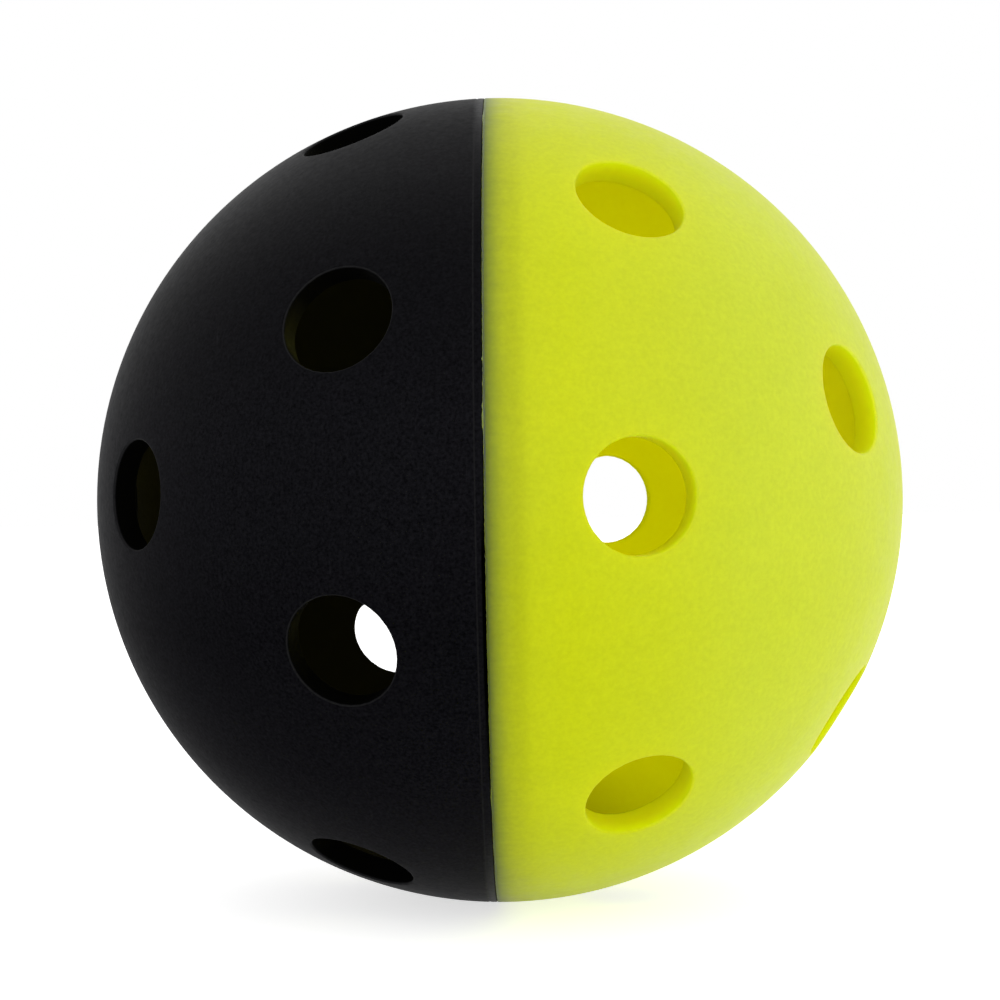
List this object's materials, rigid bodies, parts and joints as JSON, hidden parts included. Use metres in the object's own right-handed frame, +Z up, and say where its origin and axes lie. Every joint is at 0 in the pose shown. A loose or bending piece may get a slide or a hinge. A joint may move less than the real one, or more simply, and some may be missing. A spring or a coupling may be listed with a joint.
{
  "type": "perforated practice ball",
  "caption": "Hollow perforated plastic ball with a black half and a yellow half joined at a lapped seam, for batting, throwing and indoor practice.",
  "frame": {"origin": "centre of the ball; the seam lies 0.2 mm from it on the black side", "axes": "+X out through the pole of the yellow half, -X through the pole of the black half, +Z up, -Y towards the viewer; the seam runs parallel to the YZ plane"},
  "size_m": [0.0714, 0.072, 0.072],
  "materials": {
    "black_plastic": "matte moulded polyethylene, near black, with fine scuffs",
    "yellow_plastic": "satin moulded polyethylene, lime yellow, a little translucent"
  },
  "bodies": {
    "root": {"black_half_shell": "black_plastic", "yellow_half_shell": "yellow_plastic"}
  },
  "joints": []
}
